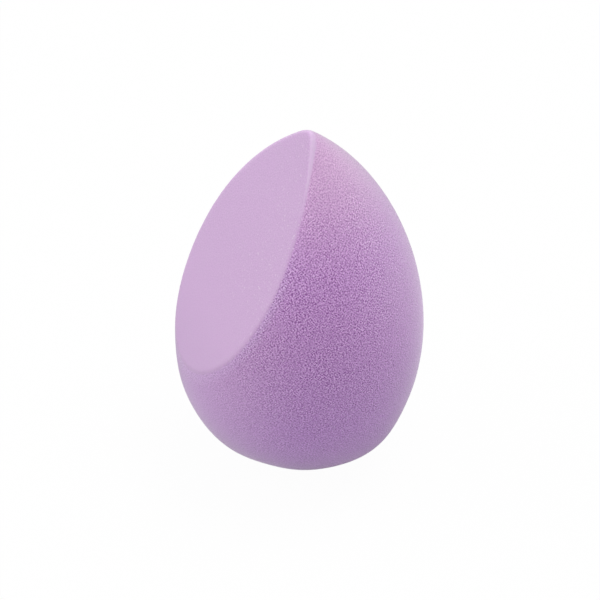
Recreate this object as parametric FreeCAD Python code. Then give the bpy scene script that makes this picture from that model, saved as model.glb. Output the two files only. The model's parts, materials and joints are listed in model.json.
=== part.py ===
import FreeCAD, Part
import math
import os

# Teardrop make-up sponge: one turned block of foam with a single flat cut from the tip to the belly.
# Lengths are in millimetres. The sponge stands on its foot at z = 0, its axis is Z, and the cut faces -Y.

# Body, with heights measured from the foot
belly_diameter = 40.0
belly_height = 23.2
tip_height = 62.5
tip_radius = 1.7
foot_flat_depth = 0.5

# Flat cut: it crosses the axis a little below the tip and comes out to the belly's width lower down
cut_axis_drop = 1.3
cut_run_out_height = 21.9
rim_radius = 0.8
rim_radius_limit_share = 0.5

# How far a cutting block stands past the body
cut_overrun = 5.0

# Side: one long arc that is upright at the belly and runs smoothly into the tip's own arc
belly_radius = belly_diameter / 2
side_rise = tip_height - tip_radius - belly_height
side_radius = (belly_radius**2 + side_rise**2 - tip_radius**2) / (2 * (belly_radius - tip_radius))
side_centre_radius = belly_radius - side_radius

# Base: a sphere that runs smoothly into the side arc and has its pole just under the foot
pole_rise = belly_height + foot_flat_depth
base_radius = (side_radius**2 - side_centre_radius**2 - pole_rise**2) / (2 * (side_radius - pole_rise))
base_centre_height = base_radius - foot_flat_depth

# Cut: how far its plane leans back from upright
cut_axis_height = tip_height - cut_axis_drop
cut_lean = math.atan2(belly_radius, cut_axis_height - cut_run_out_height)

origin = FreeCAD.Vector(0, 0, 0)
up = FreeCAD.Vector(0, 0, 1)
sideways = FreeCAD.Vector(1, 0, 0)


def profile_point(radius, height):
    """Point of the half profile, which lies in the YZ plane on the side of the cut."""
    return FreeCAD.Vector(0, -radius, height)


def profile_arc(centre, radius, start_angle, end_angle):
    """Arc of the half profile, with its angles counted up from level."""
    points = []
    for angle in (start_angle, (start_angle + end_angle) / 2, end_angle):
        points.append(centre + profile_point(radius * math.cos(angle), radius * math.sin(angle)))
    return Part.Arc(*points).toShape()


def turned_body():
    """Whole teardrop before any cut. The side is turned as two halves of its arc, for fewer facets."""
    base_centre = profile_point(0, base_centre_height)
    side_centre = profile_point(side_centre_radius, belly_height)
    tip_centre = profile_point(0, tip_height - tip_radius)
    side_start = math.atan2(base_centre_height - belly_height, -side_centre_radius)
    side_end = math.atan2(side_rise, -side_centre_radius)
    side_middle = (side_start + side_end) / 2
    base = profile_arc(base_centre, base_radius, -math.pi / 2, side_start)
    lower_side = profile_arc(side_centre, side_radius, side_start, side_middle)
    upper_side = profile_arc(side_centre, side_radius, side_middle, side_end)
    tip = profile_arc(tip_centre, tip_radius, side_end, math.pi / 2)
    axis = Part.makeLine(profile_point(0, tip_height), profile_point(0, -foot_flat_depth))
    wire = Part.Wire([base, lower_side, upper_side, tip, axis])
    return Part.Face(wire).revolve(origin, up, 360)


def block_below_foot():
    """Block whose top is the plane that the sponge stands on."""
    width = belly_diameter + 2 * cut_overrun
    depth = foot_flat_depth + cut_overrun
    return Part.makeBox(width, width, depth, FreeCAD.Vector(-width / 2, -width / 2, -depth))


def block_before_cut():
    """Block whose back is the plane of the cut, which leans back from the belly to the tip."""
    width = belly_diameter + 2 * cut_overrun
    depth = belly_diameter + cut_overrun
    reach = tip_height + cut_overrun
    block = Part.makeBox(width, depth, 2 * reach, FreeCAD.Vector(-width / 2, -depth, -reach))
    block.rotate(origin, sideways, -math.degrees(cut_lean))
    block.translate(FreeCAD.Vector(0, 0, cut_axis_height))
    return block


def cut_face_of(solid):
    """The flat face that looks forward and up."""
    outward = FreeCAD.Vector(0, -math.cos(cut_lean), math.sin(cut_lean))
    flats = [face for face in solid.Faces if isinstance(face.Surface, Part.Plane)]
    return max(flats, key=lambda face: face.normalAt(0, 0).dot(outward))


def foam_body():
    """The sponge: the turned teardrop with its flat foot, its flat cut and the cut's softened rim."""
    body = turned_body().cut(block_below_foot())
    body = body.cut(block_before_cut())
    rim = min(rim_radius, tip_radius * rim_radius_limit_share)
    return body.makeFillet(rim, cut_face_of(body).Edges).Solids[0]


def main():
    """Write the sponge's solid and print what it measures."""
    os.makedirs("parts", exist_ok=True)
    sponge = foam_body()
    sponge.exportStep("parts/foam_body.step")
    print("foam_body", sponge.ShapeType, "valid", sponge.isValid(), "volume", round(sponge.Volume, 1))
    print("base radius", round(base_radius, 3), "side radius", round(side_radius, 3))
    print("cut leans", round(math.degrees(cut_lean), 3), "degrees from upright")


main()
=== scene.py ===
"""Lilac teardrop make-up sponge: its foam, its finish, and the light and camera that show it."""

import json
import logging
import math
from dataclasses import dataclass
from enum import Enum
from typing import Any

import bmesh
import bpy
from mathutils import Matrix, Vector, noise

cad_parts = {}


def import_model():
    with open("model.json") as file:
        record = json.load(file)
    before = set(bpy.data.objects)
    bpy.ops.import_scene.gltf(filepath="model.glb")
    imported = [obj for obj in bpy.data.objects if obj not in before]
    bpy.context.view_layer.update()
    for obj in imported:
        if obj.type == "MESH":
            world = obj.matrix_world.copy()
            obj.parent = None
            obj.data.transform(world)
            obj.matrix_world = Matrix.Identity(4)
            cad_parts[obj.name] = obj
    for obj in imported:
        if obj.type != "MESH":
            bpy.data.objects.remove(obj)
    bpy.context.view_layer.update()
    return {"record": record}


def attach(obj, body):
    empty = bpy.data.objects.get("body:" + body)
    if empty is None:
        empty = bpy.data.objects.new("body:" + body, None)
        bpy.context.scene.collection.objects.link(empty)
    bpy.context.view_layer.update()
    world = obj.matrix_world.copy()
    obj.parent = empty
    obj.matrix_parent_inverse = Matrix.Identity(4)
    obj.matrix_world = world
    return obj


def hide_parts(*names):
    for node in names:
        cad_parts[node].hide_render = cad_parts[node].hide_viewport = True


LOG = logging.getLogger("sponge")
MM = 0.001
PICTURE_SIDE = 600
FULL_TURN = 2 * math.pi
NOISE_MEAN = 0.5
MIX_FIRST, MIX_SECOND, MIX_RESULT = 6, 7, 2
CUT_DEPTH = "cut_depth"
GROUND_DEPTH = "ground_depth"
Rgba = tuple[float, float, float, float]


def linear(red: int, green: int, blue: int) -> Rgba:
    """Give a colour in linear light.

    Args:
        red: Red as a display value, 0 to 255.
        green: Green as a display value, 0 to 255.
        blue: Blue as a display value, 0 to 255.

    Returns:
        The same colour in linear light, with full alpha.
    """
    shares = [value / 255 for value in (red, green, blue)]
    light = [s / 12.92 if s <= 0.04045 else ((s + 0.055) / 1.055) ** 2.4 for s in shares]
    return (light[0], light[1], light[2], 1.0)


def clamp(value: float) -> float:
    """Keep a share between none and all."""
    return min(max(value, 0.0), 1.0)


@dataclass(frozen=True)
class Teardrop:
    """Turned form of the sponge, in metres, with heights above the foot that it stands on."""

    belly_radius: float = 20.0 * MM
    belly_height: float = 23.2 * MM
    tip_height: float = 62.5 * MM
    tip_radius: float = 1.7 * MM
    foot_flat_depth: float = 0.5 * MM

    @property
    def side_rise(self) -> float:
        """Height of the tip's centre above the belly."""
        return self.tip_height - self.tip_radius - self.belly_height

    @property
    def side_radius(self) -> float:
        """Radius of the long side arc, upright at the belly and tangent to the tip."""
        squares = self.belly_radius**2 + self.side_rise**2 - self.tip_radius**2
        return squares / (2 * (self.belly_radius - self.tip_radius))

    @property
    def side_centre(self) -> Vector:
        """Centre of the side arc, past the axis."""
        return Vector((0, self.belly_radius - self.side_radius, self.belly_height))

    @property
    def base_radius(self) -> float:
        """Radius of the round base, tangent to the side arc with its pole under the foot."""
        pole_rise = self.belly_height + self.foot_flat_depth
        squares = self.side_radius**2 - self.side_centre.y**2 - pole_rise**2
        return squares / (2 * (self.side_radius - pole_rise))

    @property
    def base_centre(self) -> Vector:
        """Centre of the round base, on the axis."""
        return Vector((0, 0, self.base_radius - self.foot_flat_depth))

    @property
    def tip_centre(self) -> Vector:
        """Centre of the small round tip, on the axis."""
        return Vector((0, 0, self.tip_height - self.tip_radius))

    @property
    def side_start(self) -> float:
        """Angle above level at which the base runs into the side."""
        return math.atan2(self.base_centre.z - self.belly_height, -self.side_centre.y)

    @property
    def side_end(self) -> float:
        """Angle above level at which the side runs into the tip."""
        return math.atan2(self.side_rise, -self.side_centre.y)


@dataclass(frozen=True)
class CutPlane:
    """Plane of the flat cut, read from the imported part."""

    point: Vector
    outward: Vector

    @classmethod
    def from_record(cls, record: dict[str, Any]) -> "CutPlane":
        """Read the plane from the mount of the cut face.

        Args:
            record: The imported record.

        Returns:
            The plane, with its normal pointing out of the foam.
        """
        mount = next(m for m in record["mounts"] if m["name"] == "cut_face")
        return cls(Vector(mount["pos_m"]), Vector(mount["axis"]).normalized())

    def depth(self, place: Vector) -> float:
        """Distance of a place behind the cut."""
        return (self.point - place).dot(self.outward)


@dataclass
class Wiring:
    """A node tree with a short way to add nodes and feed their sockets."""

    tree: bpy.types.NodeTree

    def feed(self, node: bpy.types.Node, feeds: dict[str | int, Any]) -> None:
        """Link or set the sockets of a node.

        Args:
            node: The node.
            feeds: For each socket, by name or number, a socket to link or a value to set.
        """
        for socket, source in feeds.items():
            if isinstance(source, bpy.types.NodeSocket):
                self.tree.links.new(source, node.inputs[socket])
            else:
                node.inputs[socket].default_value = source

    def add(self, kind: str, feeds: dict[str | int, Any]) -> bpy.types.Node:
        """Add a node and feed its sockets.

        Args:
            kind: The node's type.
            feeds: What its sockets get, as for feed.

        Returns:
            The new node.
        """
        node = self.tree.nodes.new(kind)
        self.feed(node, feeds)
        return node

    def math(self, operation: str, first: Any, second: Any) -> bpy.types.NodeSocket:
        """Add a Math node.

        Args:
            operation: The node's operation.
            first: Socket or value of the first term.
            second: Socket or value of the second term.

        Returns:
            The result's socket.
        """
        node = self.add("ShaderNodeMath", {0: first, 1: second})
        node.operation = operation
        return node.outputs["Value"]

    def vector(self, operation: str, *terms: Any) -> bpy.types.NodeSocket:
        """Add a Vector Math node.

        Args:
            operation: The node's operation.
            terms: Sockets or values of its terms.

        Returns:
            The result's socket.
        """
        node = self.add("ShaderNodeVectorMath", dict(enumerate(terms)))
        node.operation = operation
        return node.outputs["Vector"]

    def attribute(self, name: str) -> bpy.types.NodeSocket:
        """Read a float attribute of the mesh."""
        node = self.tree.nodes.new("ShaderNodeAttribute")
        node.attribute_name = name
        return node.outputs["Fac"]

    def remap(
        self,
        value: bpy.types.NodeSocket,
        ends: tuple[float, float],
        onto: tuple[float, float],
        run: str = "SMOOTHSTEP",
    ) -> bpy.types.NodeSocket:
        """Map a range of values onto another.

        Args:
            value: The socket that is mapped.
            ends: The value at each end of the range.
            onto: What each end becomes.
            run: How the values run between the ends.

        Returns:
            The result's socket.
        """
        feeds = {"Value": value, "From Min": ends[0], "From Max": ends[1]}
        node = self.add("ShaderNodeMapRange", feeds)
        self.feed(node, {"To Min": onto[0], "To Max": onto[1]})
        node.interpolation_type = run
        return node.outputs["Result"]

    def mix(self, share: Any, first: Any, second: Any, way: str = "MIX") -> bpy.types.NodeSocket:
        """Mix two colours.

        Args:
            share: Socket or value of the second colour's share.
            first: Socket or value of the first colour.
            second: Socket or value of the second colour.
            way: How the colours are mixed.

        Returns:
            The mixed colour's socket.
        """
        node = self.tree.nodes.new("ShaderNodeMix")
        node.data_type = "RGBA"
        node.blend_type = way
        self.feed(node, {0: share, MIX_FIRST: first, MIX_SECOND: second})
        return node.outputs[MIX_RESULT]


@dataclass(frozen=True)
class Fade:
    """Smooth run of a share between two values of a measure."""

    start: float
    end: float
    start_share: float
    end_share: float

    def share(self, wiring: Wiring, measure: bpy.types.NodeSocket) -> bpy.types.NodeSocket:
        """Give the socket of the share at a measure."""
        return wiring.remap(measure, (self.start, self.end), (self.start_share, self.end_share))


@dataclass(frozen=True)
class Spot:
    """What the finish knows of a spot on the surface, each as a socket."""

    place: bpy.types.NodeSocket
    normal: bpy.types.NodeSocket
    side: bpy.types.NodeSocket
    back: bpy.types.NodeSocket
    height: bpy.types.NodeSocket
    cut_depth: bpy.types.NodeSocket
    ground_depth: bpy.types.NodeSocket

    @classmethod
    def read(cls, wiring: Wiring) -> "Spot":
        """Read the spot from Object coordinates and the mesh's attributes.

        Args:
            wiring: The material's nodes.

        Returns:
            The spot's sockets.
        """
        coordinates = wiring.add("ShaderNodeTexCoord", {}).outputs
        axes = wiring.add("ShaderNodeSeparateXYZ", {"Vector": coordinates["Object"]}).outputs
        return cls(
            coordinates["Object"],
            coordinates["Normal"],
            axes["X"],
            axes["Y"],
            axes["Z"],
            wiring.attribute(CUT_DEPTH),
            wiring.attribute(GROUND_DEPTH),
        )


@dataclass(frozen=True)
class FoamFinish:
    """Matte open-cell foam, dyed through: grainy where it is ground, close and pale where it is cut.

    Fades of the front and back run along y, those of a side along x, and those of the tip, the base, an end
    or a height along z. The other cut, painted light fringe and painted highlight rim fades run over a depth
    in the foam, and the patch and speck fades over a noise. Besides its own colour and grain, the colour
    carries painted shade and light: deeper colour low down and paler at the tip, painted sheen on the
    flanks, a painted light fringe beside the lower cut, painted shade on the cut's lower end and a painted
    highlight on the upper rim.
    """

    # base, middle and tip colours by height: painted shade, deeper and more saturated low down, and paler at
    # the lit tip
    base_colour: Rgba = linear(209, 160, 230)
    middle_colour: Rgba = linear(210, 158, 223)
    tip_colour: Rgba = linear(220, 178, 221)
    colour_heights: tuple[float, float, float] = (8.0 * MM, 42.0 * MM, 61.0 * MM)
    pit_shade: Rgba = (0.44, 0.22, 0.48, 1.0)
    crest_shade: Rgba = (1.56, 1.78, 1.52, 1.0)
    # painted sheen: duller, paler flanks in front and high at the back
    front_painted_sheen: Rgba = (1.0, 1.09, 0.945, 1.0)
    back_painted_sheen: Rgba = (1.01, 1.1, 1.0, 1.0)
    cut_colour: Rgba = linear(215, 177, 222)
    # painted shade on the lower end of the flat cut
    cut_end_painted_shade_colour: Rgba = linear(209, 173, 217)
    # painted light: a pale fringe on the body beside the lower part of the cut
    painted_light_fringe_colour: Rgba = linear(217, 177, 230)
    speck_colour: Rgba = linear(226, 197, 231)
    # painted highlight: a pale line along the upper rim of the cut
    rim_highlight_paint: Rgba = linear(224, 194, 230)
    # fades of the painted sheen on the flanks
    front_painted_sheen_fade: Fade = Fade(-18.0 * MM, -5.0 * MM, 1.0, 0.0)
    back_painted_sheen_fade: Fade = Fade(-1.0 * MM, 12.0 * MM, 0.0, 1.0)
    back_painted_sheen_height_fade: Fade = Fade(28.0 * MM, 42.0 * MM, 0.0, 1.0)
    grain_per_metre: float = 3950.0
    grain_ring: float = 0.2 * MM
    grain_ring_share: float = 0.55
    grain_swing: float = 0.32
    grain_height: float = 0.06 * MM
    patches_per_metre: float = 300.0
    specks_per_metre: float = 2600.0
    patch_fade: Fade = Fade(0.3, 0.7, 0.88, 1.12)
    tip_fade: Fade = Fade(44.0 * MM, 62.0 * MM, 1.0, 0.35)
    base_fade: Fade = Fade(3.0 * MM, 33.0 * MM, 0.42, 1.0)
    front_fade: Fade = Fade(-20.0 * MM, -7.0 * MM, 0.5, 1.0)
    back_fade: Fade = Fade(4.0 * MM, 15.0 * MM, 1.0, 0.5)
    cut_fade: Fade = Fade(0.05 * MM, 0.35 * MM, 1.0, 0.0)
    # fade of the painted shade on the cut's lower end
    cut_end_painted_shade_fade: Fade = Fade(22.0 * MM, 32.0 * MM, 1.0, 0.0)
    # fades of the painted light fringe
    painted_light_fringe_fade: Fade = Fade(0.2 * MM, 1.6 * MM, 0.85, 0.0)
    painted_light_fringe_height_fade: Fade = Fade(40.0 * MM, 52.0 * MM, 1.0, 0.0)
    cut_grain_height_fade: Fade = Fade(26.0 * MM, 46.0 * MM, 0.05, 0.16)
    speck_fade: Fade = Fade(0.68, 0.78, 0.0, 1.0)
    speck_side_fade: Fade = Fade(-6.0 * MM, 6.0 * MM, 0.1, 1.0)
    speck_height_fade: Fade = Fade(28.0 * MM, 40.0 * MM, 0.05, 1.0)
    # fades of the painted rim highlight
    rim_highlight_fade: Fade = Fade(0.15 * MM, 0.4 * MM, 1.0, 0.0)
    rim_highlight_narrow_height_fade: Fade = Fade(56.0 * MM, 61.5 * MM, 1.0, 0.35)
    rim_highlight_height_fade: Fade = Fade(51.0 * MM, 59.0 * MM, 0.0, 1.0)
    rim_highlight_side_fade: Fade = Fade(-2.0 * MM, 0.0, 0.0, 1.0)
    roughness: float = 0.9
    specular: float = 0.2
    scatter_weight: float = 0.15
    scatter_radius: tuple[float, float, float] = (1.0, 0.6, 1.0)
    scatter_reach: float = 0.8 * MM
    sheen_weight: float = 0.85
    sheen_roughness: float = 0.5
    sheen_tint: Rgba = linear(246, 240, 250)

    def material(self) -> bpy.types.Material:
        """Make the node material.

        Returns:
            The finished foam material, which reads the depths that the mesh stores.
        """
        foam = bpy.data.materials.new("lilac_foam")
        foam.use_nodes = True
        wiring = Wiring(foam.node_tree)
        shader = foam.node_tree.nodes["Principled BSDF"]
        spot = Spot.read(wiring)
        cut_share = self.cut_fade.share(wiring, spot.cut_depth)
        grain = self.grain(wiring, spot)
        # painted highlight on the upper rim of the cut; the grain gives way under it
        painted_rim_highlight = self.painted_rim_highlight(wiring, spot)
        strength = self.grain_strength(wiring, spot, cut_share)
        strength = wiring.math("MULTIPLY", strength, wiring.math("SUBTRACT", 1.0, painted_rim_highlight))

        colour = wiring.mix(cut_share, self.ground_colour(wiring, spot), self.cut_face_colour(wiring, spot))
        # lay the painted rim highlight over the colour
        colour = wiring.mix(painted_rim_highlight, colour, self.rim_highlight_paint)
        swing = wiring.math("MULTIPLY", grain, strength)
        shade = wiring.remap(swing, (-self.grain_swing, self.grain_swing), (0.0, 1.0), "LINEAR")
        shade = wiring.mix(shade, self.pit_shade, self.crest_shade)
        wiring.feed(shader, {"Base Color": wiring.mix(1.0, colour, shade, "MULTIPLY")})

        bump = wiring.add("ShaderNodeBump", {"Distance": self.grain_height, "Strength": strength})
        wiring.feed(bump, {"Height": grain})
        wiring.feed(shader, {"Normal": bump.outputs["Normal"]})
        wiring.feed(
            shader,
            {
                "Roughness": self.roughness,
                "Specular IOR Level": self.specular,
                "Subsurface Weight": self.scatter_weight,
                "Subsurface Radius": self.scatter_radius,
                "Subsurface Scale": self.scatter_reach,
                "Sheen Weight": self.sheen_weight,
                "Sheen Roughness": self.sheen_roughness,
                "Sheen Tint": self.sheen_tint,
            },
        )
        return foam

    def speckle(self, wiring: Wiring, place: bpy.types.NodeSocket, per_metre: float) -> bpy.types.NodeSocket:
        """Add an even noise.

        Args:
            wiring: The material's nodes.
            place: The coordinates that the noise lies on.
            per_metre: Grains along a metre.

        Returns:
            The noise's socket, NOISE_MEAN on average.
        """
        feeds = {"Vector": place, "Scale": per_metre, "Detail": 0.0, "Distortion": 0.0}
        return wiring.add("ShaderNodeTexNoise", feeds).outputs["Fac"]

    def grain(self, wiring: Wiring, spot: Spot) -> bpy.types.NodeSocket:
        """Add the grain: a fine noise less part of its mean on a small ring along the surface.

        Args:
            wiring: The material's nodes.
            spot: The spot on the surface.

        Returns:
            The grain's socket, about zero on average.
        """
        across = wiring.vector("NORMALIZE", wiring.vector("CROSS_PRODUCT", spot.normal, (0.0, 0.0, 1.0)))
        along = wiring.vector("CROSS_PRODUCT", spot.normal, across)
        steps = [(way, step) for way in (across, along) for step in (-self.grain_ring, self.grain_ring)]
        ring: Any = 0.0
        for way, step in steps:
            aside = wiring.vector("MULTIPLY_ADD", way, (step, step, step), spot.place)
            ring = wiring.math("ADD", self.speckle(wiring, aside, self.grain_per_metre), ring)
        around = wiring.math("MULTIPLY", ring, self.grain_ring_share / len(steps))
        middle = self.speckle(wiring, spot.place, self.grain_per_metre)
        level = NOISE_MEAN * (1 - self.grain_ring_share)
        return wiring.math("SUBTRACT", wiring.math("SUBTRACT", middle, around), level)

    def grain_strength(
        self, wiring: Wiring, spot: Spot, cut_share: bpy.types.NodeSocket
    ) -> bpy.types.NodeSocket:
        """Let the grain come and go in patches, and fade on the cut and towards both ends, front and back.

        Args:
            wiring: The material's nodes.
            spot: The spot on the surface.
            cut_share: How much of the spot belongs to the cut.

        Returns:
            The socket of the grain's strength.
        """
        strength = self.patch_fade.share(wiring, self.speckle(wiring, spot.place, self.patches_per_metre))
        fades = (
            (self.tip_fade, spot.height),
            (self.base_fade, spot.height),
            (self.front_fade, spot.back),
            (self.back_fade, spot.back),
        )
        for fade, measure in fades:
            strength = wiring.math("MULTIPLY", strength, fade.share(wiring, measure))
        on_cut = self.cut_grain_height_fade.share(wiring, spot.height)
        kept = wiring.math("MULTIPLY", strength, wiring.math("SUBTRACT", 1.0, cut_share))
        return wiring.math("ADD", kept, wiring.math("MULTIPLY", on_cut, cut_share))

    def ground_colour(self, wiring: Wiring, spot: Spot) -> bpy.types.NodeSocket:
        """Let the colour run from deep at the base to pale at the tip, as painted shade low down and painted
        light at the tip, with duller, paler flanks in front and high at the back as painted sheen.

        Beside the lower part of the cut a painted light fringe pales it a little.

        Args:
            wiring: The material's nodes.
            spot: The spot on the surface.

        Returns:
            The socket of the ground foam's colour.
        """
        low, middle, top = self.colour_heights
        # painted shade by height: deeper colour low down, paler at the tip
        to_middle = wiring.remap(spot.height, (low, middle), (0.0, 1.0))
        to_tip = wiring.remap(spot.height, (middle, top), (0.0, 1.0))
        lower = wiring.mix(to_middle, self.base_colour, self.middle_colour)
        foam_colour_and_painted_light = wiring.mix(to_tip, lower, self.tip_colour)
        # painted sheen on the front flank
        painted_sheen_front = self.front_painted_sheen_fade.share(wiring, spot.back)
        foam_colour_and_painted_light = wiring.mix(painted_sheen_front, foam_colour_and_painted_light, self.front_painted_sheen, "MULTIPLY")
        # painted sheen high on the back flank
        high = self.back_painted_sheen_height_fade.share(wiring, spot.height)
        painted_sheen_back = wiring.math("MULTIPLY", high, self.back_painted_sheen_fade.share(wiring, spot.back))
        foam_colour_and_painted_light = wiring.mix(painted_sheen_back, foam_colour_and_painted_light, self.back_painted_sheen, "MULTIPLY")
        # painted light: a pale fringe beside the lower cut that lifts the shade of the rounded rim
        fringe = self.painted_light_fringe_fade.share(wiring, spot.cut_depth)
        fringe = wiring.math("MULTIPLY", fringe, self.painted_light_fringe_height_fade.share(wiring, spot.height))
        return wiring.mix(fringe, foam_colour_and_painted_light, self.painted_light_fringe_colour)

    def cut_face_colour(self, wiring: Wiring, spot: Spot) -> bpy.types.NodeSocket:
        """Strew pale specks over the upper part of the cut, on one side, and paint shade on its lower end.

        Args:
            wiring: The material's nodes.
            spot: The spot on the surface.

        Returns:
            The socket of the cut foam's colour.
        """
        specks = self.speckle(wiring, spot.place, self.specks_per_metre)
        speck_share = self.speck_fade.share(wiring, specks)
        for fade, measure in ((self.speck_side_fade, spot.side), (self.speck_height_fade, spot.height)):
            speck_share = wiring.math("MULTIPLY", speck_share, fade.share(wiring, measure))
        # painted shade: the flat cut darker towards its lower end
        cut_end_painted_shade = self.cut_end_painted_shade_fade.share(wiring, spot.height)
        face = wiring.mix(cut_end_painted_shade, self.cut_colour, self.cut_end_painted_shade_colour)
        return wiring.mix(speck_share, face, self.speck_colour)

    def painted_rim_highlight(self, wiring: Wiring, spot: Spot) -> bpy.types.NodeSocket:
        """Paint a highlight line on the upper rim of the cut, where the rounded rim catches light, on one
        side and widest at the tip.

        Args:
            wiring: The material's nodes.
            spot: The spot on the surface.

        Returns:
            The socket of the painted highlight's share.
        """
        narrow = self.rim_highlight_narrow_height_fade.share(wiring, spot.height)
        behind_cut = wiring.math("MULTIPLY", spot.cut_depth, narrow)
        # painted highlight where the rounded rim catches light, on the +x side only
        line = self.rim_highlight_fade.share(wiring, wiring.math("MAXIMUM", behind_cut, spot.ground_depth))
        for fade, measure in ((self.rim_highlight_side_fade, spot.side), (self.rim_highlight_height_fade, spot.height)):
            line = wiring.math("MULTIPLY", line, fade.share(wiring, measure))
        return line


@dataclass(frozen=True)
class Dimple:
    """Slight swell of the soft foam round a place, or a flat where its rise is negative."""

    centre: Vector
    reach: float
    rise: float

    def rise_at(self, place: Vector) -> float:
        """How far the surface stands out at a place."""
        return self.rise * math.exp(-(((place - self.centre).length / self.reach) ** 2))


@dataclass
class FoamSponge:
    """The whole sponge: one turned block of foam with one flat cut and a softened rim."""

    form: Teardrop
    cut: CutPlane
    finish: FoamFinish
    arc_steps: int = 40
    turn_steps: int = 144
    merge_reach: float = 0.001 * MM
    cut_tolerance: float = 0.0001 * MM
    even_edge: float = 0.32 * MM
    rim_reach: float = 0.5 * MM
    rim_passes: int = 2
    rim_pull: float = 0.5
    dimples: tuple[Dimple, ...] = (
        Dimple(Vector((13.2, 8.8, 7.6)) * MM, 7.2 * MM, 0.79 * MM),
        Dimple(Vector((11.9, 13.7, 11.5)) * MM, 8.0 * MM, -0.47 * MM),
        Dimple(Vector((9.2, -8.8, 4.2)) * MM, 5.0 * MM, -0.33 * MM),
        Dimple(Vector((0.0, -18.0, 11.0)) * MM, 7.0 * MM, -0.2 * MM),
        Dimple(Vector((-12.5, -8.2, 45.0)) * MM, 15.0 * MM, 0.25 * MM),
        Dimple(Vector((0.0, 0.0, 62.0)) * MM, 4.0 * MM, 0.15 * MM),
    )
    relief_height: float = 0.01 * MM
    relief_cell: float = 0.8 * MM
    cut_relief_share: float = 0.2
    cut_relief_depth: float = 0.6 * MM

    def build(self) -> bpy.types.Object:
        """Model the foam.

        Returns:
            The sponge's object, at the origin.
        """
        mesh = bpy.data.meshes.new("foam_sponge")
        shape = bmesh.new()
        self.turn(shape)
        self.flatten(shape, Vector((0, 0, 0)), Vector((0, 0, -1)))
        self.flatten(shape, self.cut.point, self.cut.outward)
        shape.to_mesh(mesh)
        shape.free()
        sponge = bpy.data.objects.new("foam_sponge", mesh)
        bpy.context.scene.collection.objects.link(sponge)
        self.even_out(sponge)
        self.soften_rim(sponge)
        self.store_depths(sponge)
        self.shape_surface(sponge)
        return sponge

    def turn(self, shape: bmesh.types.BMesh) -> None:
        """Spin a vertex along the profile's three arcs, then the profile about the axis.

        Args:
            shape: The empty bmesh that gets the closed teardrop.
        """
        form = self.form
        last = [shape.verts.new((0, 0, -form.foot_flat_depth))]
        arcs = (
            (form.base_centre, math.pi / 2 + form.side_start),
            (form.side_centre, form.side_end - form.side_start),
            (form.tip_centre, math.pi / 2 - form.side_end),
        )
        for centre, angle in arcs:
            swept = bmesh.ops.spin(
                shape, geom=last, cent=centre, axis=(1, 0, 0), angle=angle, steps=self.arc_steps
            )
            last = [part for part in swept["geom_last"] if isinstance(part, bmesh.types.BMVert)]
        bmesh.ops.spin(
            shape,
            geom=shape.verts[:] + shape.edges[:],
            cent=(0, 0, 0),
            axis=(0, 0, 1),
            angle=FULL_TURN,
            steps=self.turn_steps,
            use_merge=True,
        )
        bmesh.ops.remove_doubles(shape, verts=shape.verts[:], dist=self.merge_reach)
        bmesh.ops.dissolve_degenerate(shape, edges=shape.edges[:], dist=self.merge_reach)
        bmesh.ops.recalc_face_normals(shape, faces=shape.faces[:])

    def flatten(self, shape: bmesh.types.BMesh, point: Vector, outward: Vector) -> None:
        """Cut the shape off at a plane and close it with one flat face.

        Args:
            shape: The closed bmesh.
            point: A point of the plane.
            outward: The plane's normal, towards the foam that is cut away.
        """
        parts = shape.verts[:] + shape.edges[:] + shape.faces[:]
        result = bmesh.ops.bisect_plane(
            shape,
            geom=parts,
            dist=self.cut_tolerance,
            plane_co=point,
            plane_no=outward,
            clear_outer=True,
        )
        edges = [part for part in result["geom_cut"] if isinstance(part, bmesh.types.BMEdge)]
        bmesh.ops.edgeloop_fill(shape, edges=edges)
        bmesh.ops.recalc_face_normals(shape, faces=shape.faces[:])

    def even_out(self, sponge: bpy.types.Object) -> None:
        """Give the sponge one even, fine mesh.

        Args:
            sponge: The sponge's object, whose mesh is replaced.
        """
        remesh = sponge.modifiers.new("even", "REMESH")
        remesh.mode = "VOXEL"
        remesh.voxel_size = self.even_edge
        remesh.use_smooth_shade = True
        evaluated = sponge.evaluated_get(bpy.context.evaluated_depsgraph_get())
        fine = bpy.data.meshes.new_from_object(evaluated)
        coarse = sponge.data
        sponge.modifiers.clear()
        sponge.data = fine
        bpy.data.meshes.remove(coarse)
        fine.name = "foam_sponge"

    def ground_depth(self, place: Vector) -> float:
        """Depth of a place under the turned surface.

        Args:
            place: A point in or on the foam.

        Returns:
            The distance in metres to the arc of the base, the side or the tip that lies outside the place.
        """
        form = self.form
        flat = Vector((0, math.hypot(place.x, place.y), place.z))
        angle = math.atan2(flat.z - form.side_centre.z, flat.y - form.side_centre.y)
        if angle < form.side_start:
            return form.base_radius - (flat - form.base_centre).length
        if angle > form.side_end:
            return form.tip_radius - (flat - form.tip_centre).length
        return form.side_radius - (flat - form.side_centre).length

    def soften_rim(self, sponge: bpy.types.Object) -> None:
        """Smooth the vertices on both sides of the rim into a small round.

        Args:
            sponge: The sponge's object.
        """
        shape = bmesh.new()
        shape.from_mesh(sponge.data)
        near = [
            vert
            for vert in shape.verts
            if max(self.cut.depth(vert.co), self.ground_depth(vert.co)) < self.rim_reach
        ]
        for _ in range(self.rim_passes):
            bmesh.ops.smooth_vert(
                shape, verts=near, factor=self.rim_pull, use_axis_x=True, use_axis_y=True, use_axis_z=True
            )
        shape.to_mesh(sponge.data)
        shape.free()

    def store_depths(self, sponge: bpy.types.Object) -> None:
        """Store on each vertex how deep it lies behind the cut and under the turned surface.

        Args:
            sponge: The sponge's object.
        """
        mesh = sponge.data
        cut_depths = mesh.attributes.new(CUT_DEPTH, "FLOAT", "POINT")
        ground_depths = mesh.attributes.new(GROUND_DEPTH, "FLOAT", "POINT")
        for vert, cut_depth, ground_depth in zip(mesh.vertices, cut_depths.data, ground_depths.data):
            cut_depth.value = self.cut.depth(vert.co)
            ground_depth.value = self.ground_depth(vert.co)

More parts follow.
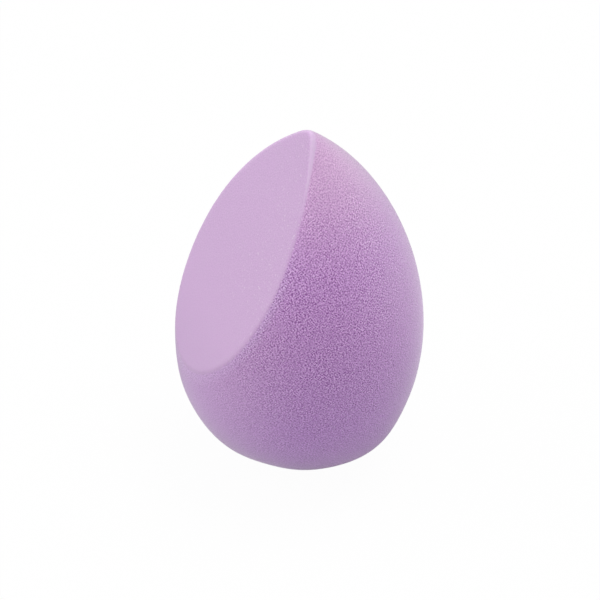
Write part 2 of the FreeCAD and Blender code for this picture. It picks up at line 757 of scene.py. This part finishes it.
    def shape_surface(self, sponge: bpy.types.Object) -> None:
        """Give the surface its slight swells and the fine relief of its cells.

        Args:
            sponge: The sponge's object, with its depths stored.
        """
        mesh = sponge.data
        depths = mesh.attributes[CUT_DEPTH].data
        normals = [normal.vector.copy() for normal in mesh.vertex_normals]
        for vert, normal, depth in zip(mesh.vertices, normals, depths):
            off_cut = clamp(depth.value / self.cut_relief_depth)
            share = self.cut_relief_share + (1 - self.cut_relief_share) * off_cut
            relief = noise.noise(vert.co / self.relief_cell) * self.relief_height * share
            swell = sum(dimple.rise_at(vert.co) for dimple in self.dimples)
            vert.co += normal * (relief + swell)
            vert.co.z = max(vert.co.z, 0.0)
        mesh.update()

    def dress(self, sponge: bpy.types.Object) -> None:
        """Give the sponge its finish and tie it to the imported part.

        Args:
            sponge: The sponge's object.
        """
        sponge.data.materials.append(self.finish.material())
        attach(sponge, "root")
        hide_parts("foam_body")


def direction(azimuth: float, elevation: float) -> Vector:
    """Give the way from the sponge to a place around it.

    Args:
        azimuth: Degrees round the axis, 0 in front of the cut and growing to the right.
        elevation: Degrees above level.

    Returns:
        The unit vector that points to the place.
    """
    turn, rise = math.radians(azimuth), math.radians(elevation)
    return Vector(
        (math.sin(turn) * math.cos(rise), -math.cos(turn) * math.cos(rise), math.sin(rise))
    )


class LampRole(Enum):
    """What each lamp does for the sponge."""

    KEY = "key_lamp"
    FILL = "fill_lamp"
    TOP = "top_lamp"
    BACK = "back_lamp"


@dataclass(frozen=True)
class Lamp:
    """Square soft lamp that looks at the sponge."""

    role: LampRole
    azimuth: float
    elevation: float
    watts: float
    distance: float = 0.7
    side: float = 0.4

    def place(self, target: Vector) -> None:
        """Put the lamp round the target.

        Args:
            target: The point that the lamp looks at.
        """
        data = bpy.data.lights.new(self.role.value, "AREA")
        data.shape = "SQUARE"
        data.size = self.side
        data.energy = self.watts
        lamp = bpy.data.objects.new(self.role.value, data)
        away = direction(self.azimuth, self.elevation)
        lamp.location = target + away * self.distance
        lamp.rotation_euler = away.to_track_quat("Z", "Y").to_euler()
        bpy.context.scene.collection.objects.link(lamp)


@dataclass(frozen=True)
class Studio:
    """White floor, soft lamps and the camera at the photograph's angle."""

    camera_azimuth: float = 67.9
    camera_elevation: float = 38.0
    camera_distance: float = 1.0
    camera_roll: float = 2.04
    pixels_per_metre: float = 6242.0
    axis_middle: Vector = Vector((0, 0, 31.03 * MM))
    middle_across: float = 300.68
    middle_down: float = 290.45
    sensor: float = 36.0
    floor_side: float = 6.0
    floor_white_share: float = 0.97
    floor_tone: float = 0.9
    floor_bounce: float = 0.52
    world_strength: float = 0.515
    lamps: tuple[Lamp, ...] = (
        Lamp(LampRole.KEY, 347.0, 10.0, 1.08),
        Lamp(LampRole.FILL, 330.0, 40.0, 0.65),
        Lamp(LampRole.TOP, 240.0, 70.0, 0.56),
        Lamp(LampRole.BACK, 180.0, 70.0, 1.9),
    )

    def build(self) -> None:
        """Set the floor, the light and the camera."""
        bpy.context.scene.view_settings.view_transform = "Standard"
        self.lay_floor()
        self.light_world()
        for lamp in self.lamps:
            lamp.place(self.axis_middle)
            LOG.info("%s in place", lamp.role.value)
        self.set_camera()

    def lay_floor(self) -> None:
        """Lay a white floor that shows a soft shadow and is white to the camera elsewhere."""
        shape = bmesh.new()
        bmesh.ops.create_grid(shape, x_segments=1, y_segments=1, size=self.floor_side / 2)
        mesh = bpy.data.meshes.new("floor")
        shape.to_mesh(mesh)
        shape.free()
        floor = bpy.data.objects.new("floor", mesh)
        bpy.context.scene.collection.objects.link(floor)
        mesh.materials.append(self.floor_paint())

    def floor_paint(self) -> bpy.types.Material:
        """Make the floor's paint.

        Returns:
            A matte white that is white to the camera and in reflections, but for part of its shade.
        """
        paint = bpy.data.materials.new("white_floor")
        paint.use_nodes = True
        wiring = Wiring(paint.node_tree)
        nodes = paint.node_tree.nodes
        matte = nodes["Principled BSDF"]
        rays = wiring.add("ShaderNodeLightPath", {}).outputs
        tone = wiring.remap(rays["Is Diffuse Ray"], (0.0, 1.0), (self.floor_tone, self.floor_bounce))
        wiring.feed(matte, {"Base Color": tone, "Roughness": 1.0, "Specular IOR Level": 0.0})
        seen = wiring.math("MAXIMUM", rays["Is Camera Ray"], rays["Is Glossy Ray"])
        seen = wiring.math("MAXIMUM", seen, rays["Is Transmission Ray"])
        white = wiring.add("ShaderNodeEmission", {}).outputs["Emission"]
        share = wiring.math("MULTIPLY", seen, self.floor_white_share)
        shown = wiring.add("ShaderNodeMixShader", {0: share, 1: matte.outputs["BSDF"], 2: white})
        wiring.feed(nodes["Material Output"], {"Surface": shown.outputs["Shader"]})
        return paint

    def light_world(self) -> None:
        """Light the room evenly, with white where the camera looks past the floor."""
        world = bpy.data.worlds.new("studio")
        bpy.context.scene.world = world
        world.use_nodes = True
        wiring = Wiring(world.node_tree)
        rays = wiring.add("ShaderNodeLightPath", {}).outputs
        strength = wiring.remap(rays["Is Camera Ray"], (0.0, 1.0), (self.world_strength, 1.0))
        background = world.node_tree.nodes["Background"]
        wiring.feed(background, {"Color": (1.0, 1.0, 1.0, 1.0), "Strength": strength})

    def set_camera(self) -> None:
        """Set the camera so that the sponge's middle falls where the photograph has it."""
        away = direction(self.camera_azimuth, self.camera_elevation)
        turn = away.to_track_quat("Z", "Y").to_matrix()
        turn = turn @ Matrix.Rotation(math.radians(self.camera_roll), 3, "Z")
        across = (PICTURE_SIDE / 2 - self.middle_across) / self.pixels_per_metre
        above = (self.middle_down - PICTURE_SIDE / 2) / self.pixels_per_metre
        target = self.axis_middle + turn @ Vector((across, above, 0))
        data = bpy.data.cameras.new("camera")
        data.sensor_width = self.sensor
        data.lens = self.pixels_per_metre * self.camera_distance / PICTURE_SIDE * self.sensor
        camera = bpy.data.objects.new("camera", data)
        camera.matrix_world = Matrix.Translation(target + away * self.camera_distance) @ turn.to_4x4()
        bpy.context.scene.collection.objects.link(camera)
        bpy.context.scene.camera = camera


def main() -> None:
    """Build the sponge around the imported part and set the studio."""
    logging.basicConfig(level=logging.INFO, format="%(name)s: %(message)s")
    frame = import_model()
    foam = FoamSponge(Teardrop(), CutPlane.from_record(frame["record"]), FoamFinish())
    sponge = foam.build()
    foam.dress(sponge)
    LOG.info("%s has %d vertices", sponge.name, len(sponge.data.vertices))
    Studio().build()


if __name__ == "__main__":
    main()
